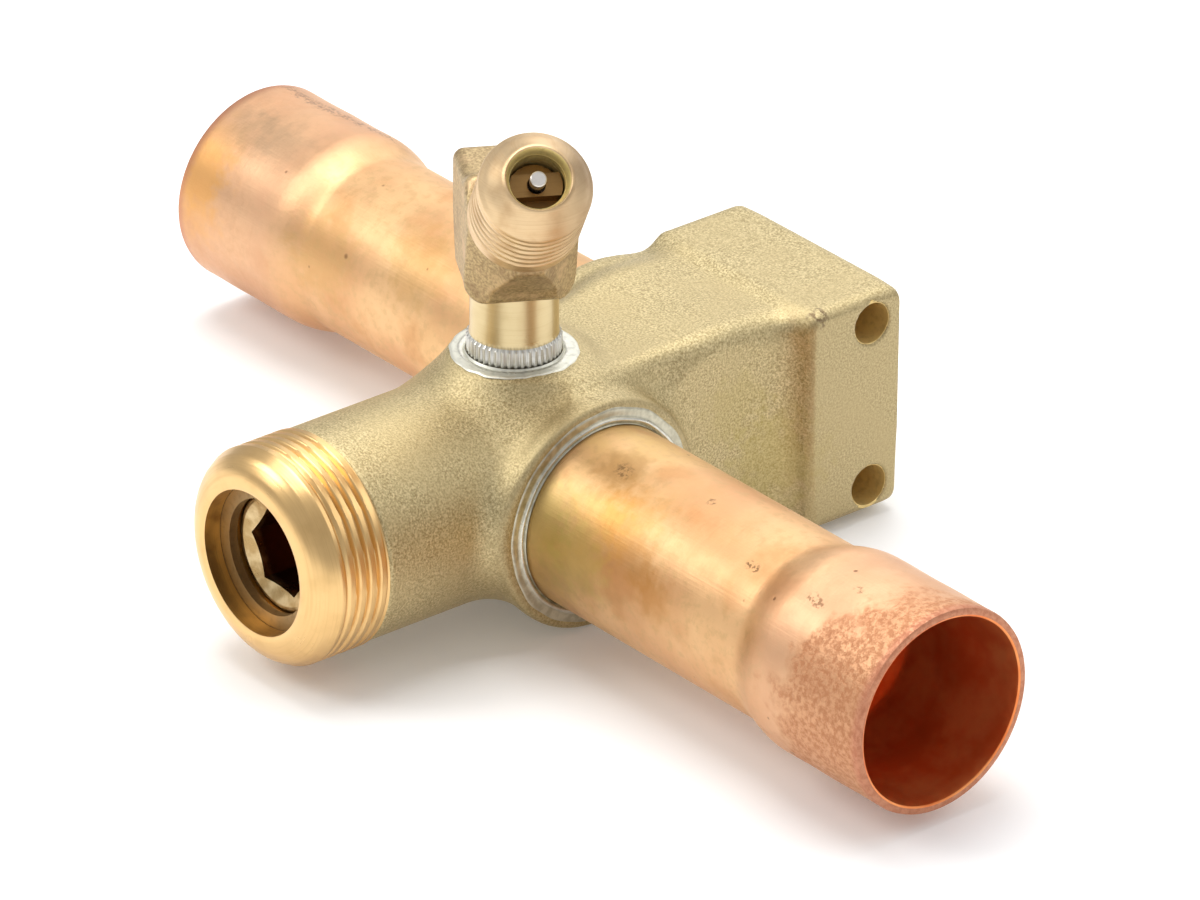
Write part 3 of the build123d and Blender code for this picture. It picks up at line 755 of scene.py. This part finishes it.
# stains and scratches: the places, the radius of each, its colour and its strength
line_marks = [
    ([(9.2, -42.3, 5.1), (12.5, -41.5, 6.0)], 3.6, (0.72, 0.38, 0.12), 0.5),
    ([(1.8, -43.7, 2.5), (7.7, -44.1, 0.7)], 3.8, (0.62, 0.47, 0.17), 0.55),
    ([(7.0, -37.8, 8.4)], 2.6, (0.50, 0.29, 0.11), 0.6),
    ([(17.8, -43.8, 2.2), (19.5, -44.0, 1.4), (16.0, -43.3, 3.6)], 2.2, (0.60, 0.31, 0.11), 0.4),
    ([(7.0, -37.8, 8.4), (7.9, -38.0, 8.3)], 0.7, (0.15, 0.09, 0.045), 0.6),
    ([(18.3, -36.1, 8.8), (28.3, -39.7, 7.5), (29.2, -39.7, 7.4)], 0.42, (0.16, 0.09, 0.04), 0.85),
    ([(38.2, -40.4, 8.3), (38.8, -40.5, 8.2), (39.5, -40.5, 8.2), (41.6, -37.5, 9.6)], 0.5,
     (0.22, 0.12, 0.06), 0.75),
]
unit_marks = [
    ([(-75.61, -25.13, 4.26), (-74.96, -26.19, 1.12), (-74.81, -23.62, 6.43)], 3.6, (0.74, 0.40, 0.15), 0.5),
    ([(-42.57, -23.84, 6.18), (-55.86, -25.87, 2.48)], 4.2, (0.62, 0.37, 0.14), 0.5),
    ([(-75.31, -20.84, 8.63), (-73.01, -20.79, 8.66), (-70.76, -20.7, 8.71), (-68.52, -20.6, 8.76),
      (-66.57, -20.81, 8.65)], 2.6, (0.46, 0.31, 0.19), 0.22),
    ([(-76.31, -12.62, 9.45), (-74.12, -12.76, 9.49), (-72.41, -12.77, 9.5), (-70.83, -12.69, 9.47),
      (-69.38, -12.51, 9.42), (-67.84, -12.13, 9.29), (-65.99, -11.74, 9.14), (-64.39, -11.15, 8.87),
      (-62.94, -10.72, 8.65)], 0.95, (0.26, 0.16, 0.11), 0.6),
]
tube("line_tube", line_root, 1, line_reach, 3, "line_tube", 1.0, line_marks)
tube("unit_tube", unit_root, -1, unit_reach, 8, "unit_tube", 0.12, unit_marks)


# ---- braze fillets: a flat skirt, a raised bead and a dark gap against the tube ----
def braze(name, root, way, base, inner, outer, bead, rise, seed, cad, skirt):
    """bead is the share of the width at which the raised bead stands, rise its height."""
    sink, skirt_height, groove, bead_width = 0.05, 0.12, 0.03, 0.6
    crest = inner + (outer - inner) * bead
    bead_edge = crest + bead_width / 2
    profile = [(base - sink, inner), (base - sink, outer), (base + 0.07, outer - 0.12)]
    profile += resample([(base + 0.10, outer - 0.3), (base + skirt_height, bead_edge)], 0.25).tolist()
    for i in range(1, 10):
        profile.append((base + skirt_height + rise * sin(pi * i / 10), bead_edge - bead_width / 10 * i))
    profile += [(base + groove, crest - 0.34), (base + groove, inner + 0.2), (base + 0.3, inner)]

    def relief(d, r, a):
        swell = np.where(r > inner + 0.25, 0.09 * ripple(seed, a, 14), 0)
        return swell + np.where(r > outer - 0.2, 0.10 * ripple(seed + 5, a, 20), 0)

    piece = turned(name, root, way, profile, [skirt, bead_silver], 220, relief,
                   lambda d, r, facing: np.abs(r - crest) < 0.2, sharp=60)
    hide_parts(cad)


seat = tube_radius + 0.06
skirt_radius = 11.25
braze("line_braze", line_root, (1, 0, 0), boss_length, seat, skirt_radius, 0.26, 0.2, 1, "line_tube_braze", silver)
braze("unit_braze", unit_root, (-1, 0, 0), boss_length, seat, skirt_radius, 0.26, 0.2, 2, "unit_tube_braze", silver)
braze("port_braze", port_root, (0, 0, 1), pad_height, 4.78, 6.35, 0.3, 0.04, 3, "access_port_braze", pale_silver)


# ---- access fitting ----
knurl_end = pad_height + 2.15
spigot_radius, knurl_radius, spigot_bore, spigot_sink = 4.36, 4.7, 1.5, 4.9


def knurl(d, r, a):
    ridges, depth = 44, 0.22
    band = (d > pad_height + 0.02) & (d < knurl_end) & (r > 4.3)
    return np.where(band, -depth * (0.5 + 0.5 * np.cos(ridges * a)) ** 1.5, 0)


spigot = [(pad_height - spigot_sink, spigot_bore), (pad_height - spigot_sink, spigot_radius),
          (pad_height, spigot_radius), (pad_height + 0.04, knurl_radius), (pad_height + 1.95, knurl_radius),
          (pad_height + 2.2, 4.42), (pad_height + 2.6, spigot_radius), (elbow_bottom + 0.5, spigot_radius),
          (elbow_bottom + 0.5, spigot_bore)]
spigot_skin = turned("spigot", port_root, (0, 0, 1), spigot, [spigot_brass, knurl_metal], 352, knurl,
                     lambda d, r, facing: (r > 4.3) & (np.abs(d - pad_height - 1.1) < 1.15))


def elbow(x, y, z):
    """Forged block of the elbow; x, y, z count from the elbow's centre."""
    arm_end, chamfer, port_bore = 8.5, 8.6, 2.7
    across = Vector((-heading.y, heading.x, 0))
    a = x * heading.x + y * heading.y
    b = x * across.x + y * across.y
    n = (a + z) / sqrt(2)
    q = (z - a) / sqrt(2)
    upright = slab(a, b, z - (elbow_top + elbow_bottom) / 2 + elbow_centre,
                   (elbow_half_depth, elbow_half, (elbow_top - elbow_bottom) / 2), elbow_corner)
    arm = slab(n - 4.2, b, q + 0.4, (4.3, elbow_half, 5.35), elbow_corner)
    solid = smooth_union(np.maximum(upright, n - arm_end), arm, 0.8)
    solid = np.maximum(solid, n - arm_end)
    solid = np.maximum(solid, (np.abs(b) + np.abs(a) * 0.8 - z * 0.25 - chamfer) * 0.75)
    solid = smooth_cut(solid, np.hypot(x, y) - spigot_bore + beyond(z, 0), 0.2)
    return smooth_cut(solid, np.where(n > 0, np.hypot(q, b) - port_bore, 9), 0.2)


elbow_low = (-9, -9, elbow_bottom - elbow_centre - 0.6)
elbow_high = (10, 10, elbow_top - elbow_centre + 1)
elbow_skin = skin("elbow_block", *surface_net(elbow, elbow_low, elbow_high, 0.22), elbow_root, elbow_brown)
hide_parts("access_fitting")


# distances along the nipple count from the elbow's centre
flare_start, flare_end, nipple_bore = 8.3, 17.2, 2.16


def flare_thread(d, r, a):
    depth = 0.36
    inside = (d > 8.6) & (d < flare_end - 0.1) & (r > 5.2)
    fade = np.clip((16.9 - d) / 0.8, 0, 1) * np.clip((d - 9.2) / 0.8, 0, 1)
    return np.where(inside, -depth * fade * (1 - vee(d / thread_pitch + a / (2 * pi), 0.4)), 0)


flare = resample([(flare_start, flare_crest), (flare_end, flare_crest)], 0.08).tolist()
flare += [(17.45, 5.45), (17.7, 5.2), (18.0, 5.05), (18.6, 4.6), (19.2, 4.05), (19.7, 3.6), (19.93, 3.42),
          (20.0, 3.25), (19.9, 3.12), (19.3, 2.85), (18.9, 2.75)]
flare += resample([(18.9, 2.72), (13.1, 2.66)], 0.15).tolist()
flare += [(12.6, nipple_bore), (6.0, nipple_bore), (6.0, 2.75), (flare_start, 2.8)]


def core_thread(d, r, a):
    depth, pitch = 0.14, 0.706
    inside = (d > 13.5) & (d < 18.7) & (r < 3) & (r > 2.3)
    return np.where(inside, depth * vee(d / pitch + a / (2 * pi), 0.3), 0)


nipple = turned("flare_nipple", elbow_root, nipple_way, flare, [nipple_brass, core_brass], 200,
                lambda d, r, a: flare_thread(d, r, a) + core_thread(d, r, a),
                lambda d, r, facing: r < 3.0, sharp=50)


# ---- finishes of the CAD nodes that stay as they are ----
# the retaining ring's dark brown is partly its own dark steel and partly painted shade for the dark band in the
# mouth's groove
dark_steel_and_shade = plain_finish("dark_steel_and_shade", (0.34, 0.22, 0.10), 0.4, 0.9)
black_rubber = plain_finish("black_rubber", (0.02, 0.02, 0.02), 0.5)
finishes = {
    "valve_stem": stem_finish(),
    "retaining_ring": dark_steel_and_shade,
    "stem_o_ring": black_rubber,
    "core_plug": core_dark,
    "core_barrel": core_dark,
    "core_pin": plain_finish("pin_metal", (0.74, 0.70, 0.66), 0.25, 1.0),
    "core_cup": black_rubber,
    "core_gasket": plain_finish("white_ptfe", (0.80, 0.80, 0.78), 0.45),
}
for node, material in finishes.items():
    obj = frame["nodes"][node]
    obj.data.materials.clear()
    obj.data.materials.append(material)


# ---- core spring: a copy of the CAD coil with its doubled points merged ----
coil = frame["nodes"]["core_spring"].copy()
coil.data = coil.data.copy()
coil.name = coil.data.name = "core_coil"
bpy.context.scene.collection.objects.link(coil)
bpy.ops.object.select_all(action="DESELECT")
bpy.context.view_layer.objects.active = coil
coil.select_set(True)
bpy.ops.object.mode_set(mode="EDIT")
bpy.ops.mesh.select_all(action="SELECT")
bpy.ops.mesh.remove_doubles(threshold=MM / 1000)
bpy.ops.object.mode_set(mode="OBJECT")
coil.data.materials.clear()
coil.data.materials.append(plain_finish("spring_wire", (0.45, 0.42, 0.38), 0.3, 1.0))
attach(coil, "valve")
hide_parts("core_spring")
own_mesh(coil)


# ---- camera ----
azimuth, elevation, roll = radians(50.23), radians(27.77), radians(0.51)
aim = Vector((stem_x, line_y, tube_z))
back = Vector((sin(azimuth) * cos(elevation), -cos(azimuth) * cos(elevation), sin(elevation)))
right = Vector((cos(azimuth), sin(azimuth), 0))
up = back.cross(right)
right, up = right * cos(roll) + up * sin(roll), up * cos(roll) - right * sin(roll)
camera_distance, camera_right, camera_up = 1128.8, 7.83, 1.79
eye = (aim + back * camera_distance + right * camera_right + up * camera_up) * MM
camera_data = bpy.data.cameras.new("camera")
camera_data.lens = 346.8
camera_data.clip_end = 20
camera = bpy.data.objects.new("camera", camera_data)
camera.matrix_world = Matrix((right, up, back)).transposed().to_4x4()
camera.matrix_world.translation = eye
bpy.context.scene.collection.objects.link(camera)
bpy.context.scene.camera = camera


# ---- floor and light ----
def light(name, where, watts, width):
    """A square lamp that faces the valve."""
    data = bpy.data.lights.new(name, "AREA")
    data.energy = watts
    data.size = width
    obj = bpy.data.objects.new(name, data)
    obj.location = where
    obj.rotation_euler = (aim * MM - Vector(where)).to_track_quat("-Z", "Y").to_euler()
    bpy.context.scene.collection.objects.link(obj)


floor_z = cad_low.z - 0.0002
half = 6
corners = [(-half, -half, floor_z), (half, -half, floor_z), (half, half, floor_z), (-half, half, floor_z)]
floor_mesh = bpy.data.meshes.new("floor")
floor_mesh.from_pydata(corners, [], [(0, 1, 2, 3)])
floor = bpy.data.objects.new("floor", floor_mesh)
bpy.context.scene.collection.objects.link(floor)
pale = Finish("pale_floor", 0.0)
pale.feed(pale.shader.inputs["Emission Color"], (1, 1, 1))
pale.feed(pale.shader.inputs["Emission Strength"], 0.10)
pale.feed(pale.shader.inputs["Specular IOR Level"], 0.0)
floor_mesh.materials.append(pale.done((0.93, 0.93, 0.93), 0.9))

world = bpy.data.worlds.new("studio")
world.use_nodes = True
backdrop = world.node_tree.nodes["Background"]
backdrop.inputs["Color"].default_value = (1, 1, 1, 1)
backdrop.inputs["Strength"].default_value = 0.52
bpy.context.scene.world = world
light("overhead", (-0.1, 0.0, 0.55), 2.2, 0.40)
light("key", (-0.32, -0.40, 0.42), 1.3, 0.28)
light("side", (0.42, 0.50, 0.55), 1.0, 0.50)
light("back", (-0.34, 0.52, 0.42), 1.35, 0.60)

bpy.context.scene.view_settings.view_transform = "Standard"
bpy.context.scene.view_settings.look = "None"
